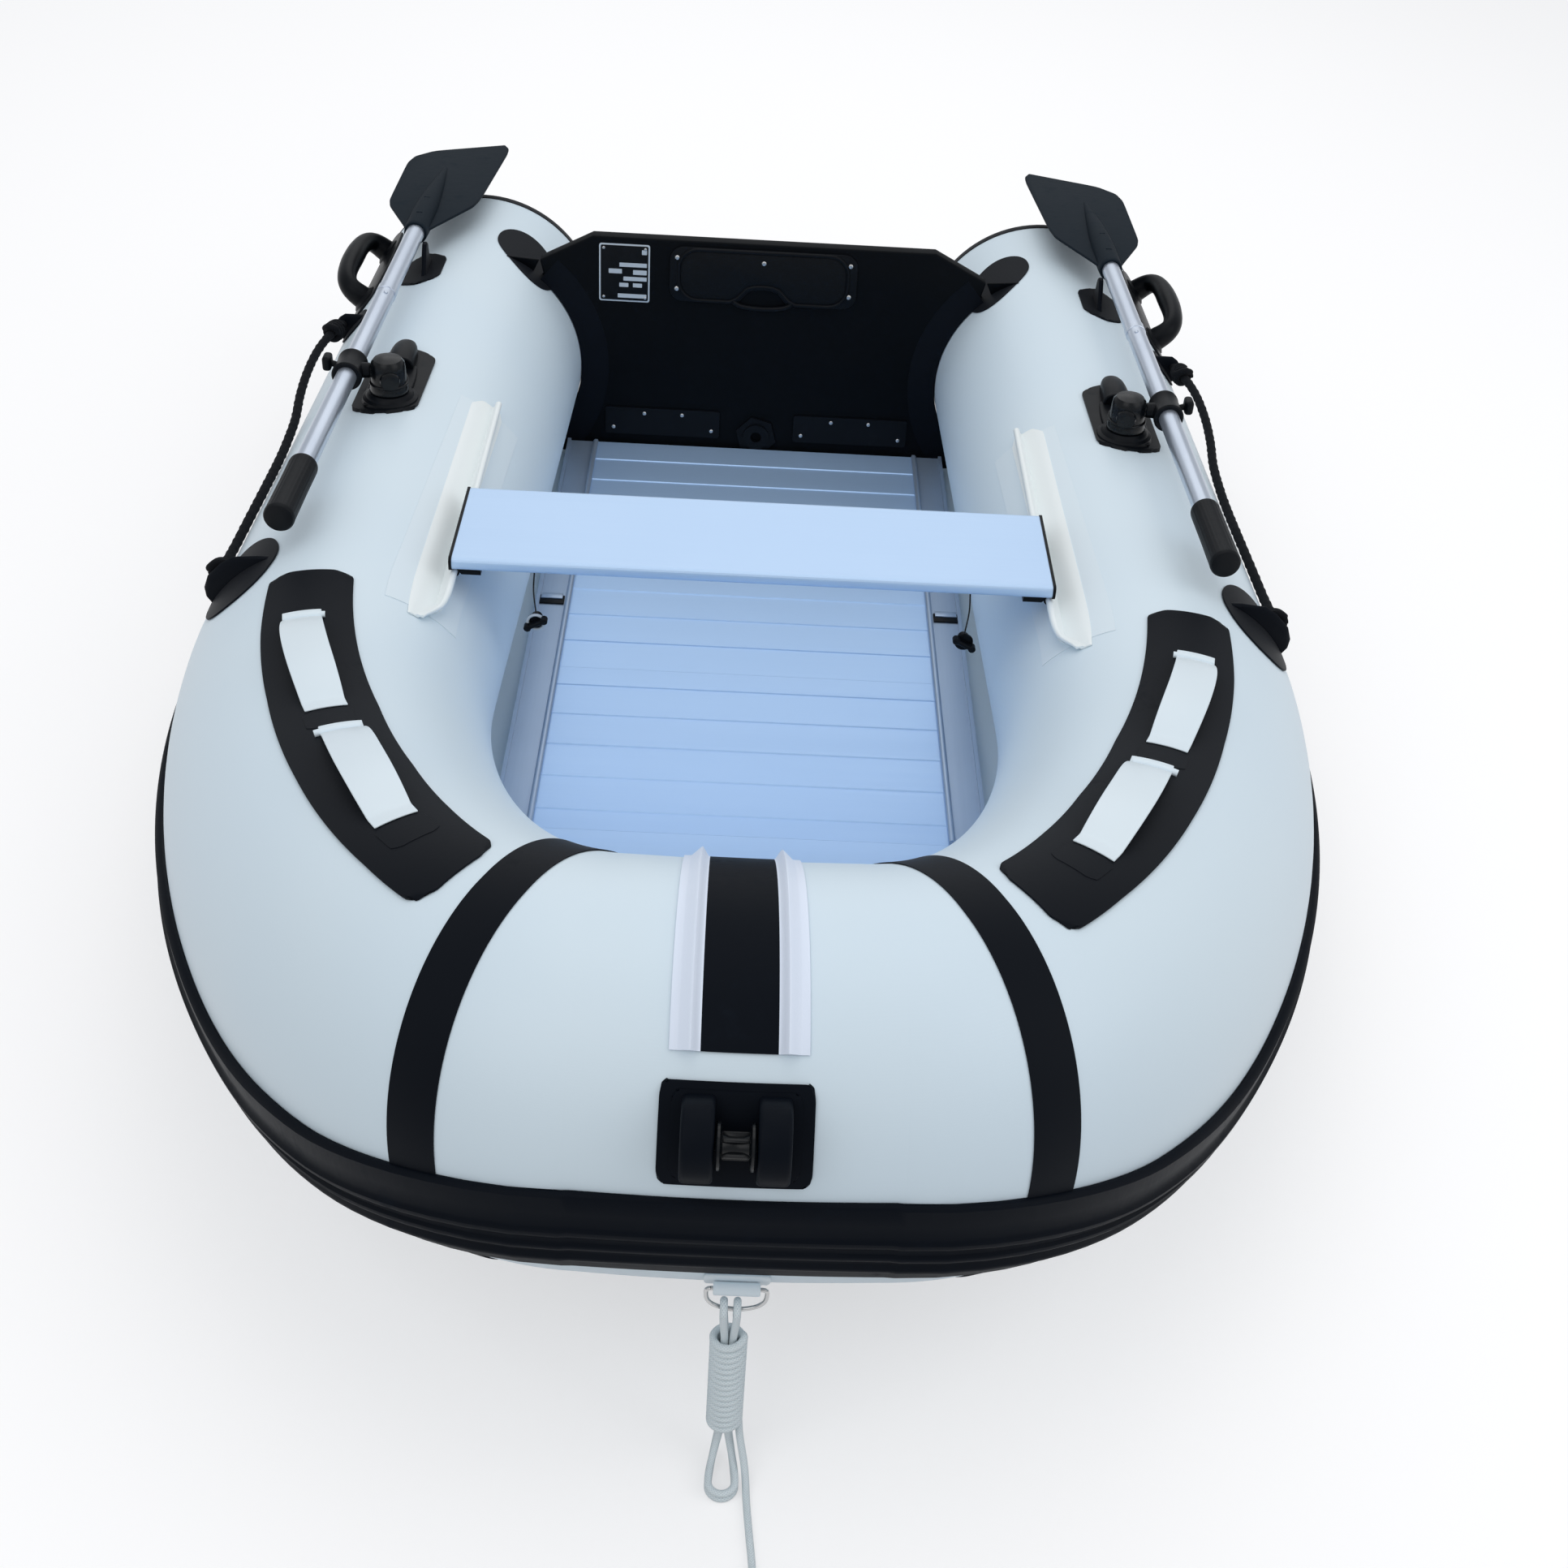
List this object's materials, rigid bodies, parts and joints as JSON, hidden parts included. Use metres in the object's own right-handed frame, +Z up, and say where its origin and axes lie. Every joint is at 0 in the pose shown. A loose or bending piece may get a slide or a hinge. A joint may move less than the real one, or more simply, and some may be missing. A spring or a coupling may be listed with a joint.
{
  "type": "inflatable boat",
  "caption": "Inflatable tender with a three-chamber tube hull, slatted aluminium floor, sliding bench seat, stowed oars in swivelling rowlocks, motor board and coiled painter.",
  "frame": {"origin": "on the ground, in the middle of the box round the boat without its cords", "axes": "+Z up, +X to port, bow towards -Y and stern towards +Y"},
  "size_m": [1.5496, 2.6786, 0.5835],
  "materials": {
    "hull_fabric": "coated fabric, white, slightly glossy",
    "black_fabric": "black coated fabric, satin",
    "black_rubber": "moulded black rubber, satin",
    "board": "black-faced board, satin",
    "aluminium": "satin anodised",
    "steel": "polished stainless steel",
    "rope_white": "braided rope, pale",
    "rope_black": "braided rope, black",
    "black_plastic": "moulded black plastic, satin"
  },
  "bodies": {
    "hull": {"bow_board": "aluminium", "bow_protector": "black_rubber", "bow_tube": "hull_fabric", "drain_fitting": "black_plastic", "floor_bracket_port": "black_plastic", "floor_bracket_starboard": "black_plastic", "floor_panel_aft": "aluminium", "floor_panel_fore": "aluminium", "floor_panel_mid": "aluminium", "hull_bottom": "hull_fabric", "keel_guard": "black_rubber", "motor_pad_inner": "black_plastic", "motor_pad_outer": "black_plastic", "painter_tab": "hull_fabric", "port_carry_handle": "black_plastic", "port_handle_pad": "black_fabric", "port_oar_clip": "black_fabric", "port_rope_patch_fore": "black_fabric", "port_rope_patch_rear": "black_fabric", "port_rowlock_base": "black_plastic", "port_safety_line": "rope_black", "port_tube": "hull_fabric", "roller_base": "black_plastic", "rub_strake": "black_rubber", "seat_track_port": "hull_fabric", "seat_track_starboard": "hull_fabric", "starboard_carry_handle": "black_plastic", "starboard_handle_pad": "black_fabric", "starboard_oar_clip": "black_fabric", "starboard_rope_patch_fore": "black_fabric", "starboard_rope_patch_rear": "black_fabric", "starboard_rowlock_base": "black_plastic", "starboard_safety_line": "rope_black", "starboard_tube": "hull_fabric", "stringer_port": "aluminium", "stringer_starboard": "aluminium", "transom": "board", "valve_bow": "black_plastic", "valve_port": "black_plastic", "valve_starboard": "black_plastic"},
    "seat": {"seat_bench": "aluminium", "seat_end_port": "black_plastic", "tether_port": "rope_black", "tether_plug_port": "black_plastic", "seat_end_starboard": "black_plastic", "tether_starboard": "rope_black", "tether_plug_starboard": "black_plastic"},
    "port_rowlock": {"port_rowlock_swivel": "black_plastic"},
    "port_oar": {"port_oar_blade": "black_plastic", "port_oar_shaft": "aluminium", "port_oar_grip": "black_plastic", "port_oar_collar": "black_plastic"},
    "starboard_rowlock": {"starboard_rowlock_swivel": "black_plastic"},
    "starboard_oar": {"starboard_oar_blade": "black_plastic", "starboard_oar_shaft": "aluminium", "starboard_oar_grip": "black_plastic", "starboard_oar_collar": "black_plastic"},
    "roller": {"anchor_roller": "black_plastic"},
    "ring": {"painter_ring": "steel", "painter": "rope_white"}
  },
  "joints": [
    {"name": "seat_slide", "type": "slide", "parent": "hull", "child": "seat", "axis": [0, 1, 0], "range_m": [-0.02, 0.3]},
    {"name": "port_rowlock_swing", "type": "hinge", "parent": "hull", "child": "port_rowlock", "pos_m": [0.556, 0.2832, 0.455], "axis": [0, 0, -1], "range_deg": [0, 110]},
    {"name": "port_oar_dip", "type": "hinge", "parent": "port_rowlock", "child": "port_oar", "pos_m": [0.613, 0.2832, 0.455], "axis": [1, 0, 0], "range_deg": [-2, 2.5]},
    {"name": "starboard_rowlock_swing", "type": "hinge", "parent": "hull", "child": "starboard_rowlock", "pos_m": [-0.556, 0.2832, 0.455], "axis": [0, 0, 1], "range_deg": [0, 110]},
    {"name": "starboard_oar_dip", "type": "hinge", "parent": "starboard_rowlock", "child": "starboard_oar", "pos_m": [-0.613, 0.2832, 0.455], "axis": [1, 0, 0], "range_deg": [-2, 2.5]},
    {"name": "anchor_roller_spin", "type": "hinge", "parent": "hull", "child": "roller", "pos_m": [0, -1.2315, 0.4782], "axis": [1, 0, 0], "continuous": true},
    {"name": "painter_ring_swing", "type": "hinge", "parent": "hull", "child": "ring", "pos_m": [0.0088, -1.2184, 0.2655], "axis": [-1, 0, 0], "range_deg": [0, 25]}
  ]
}
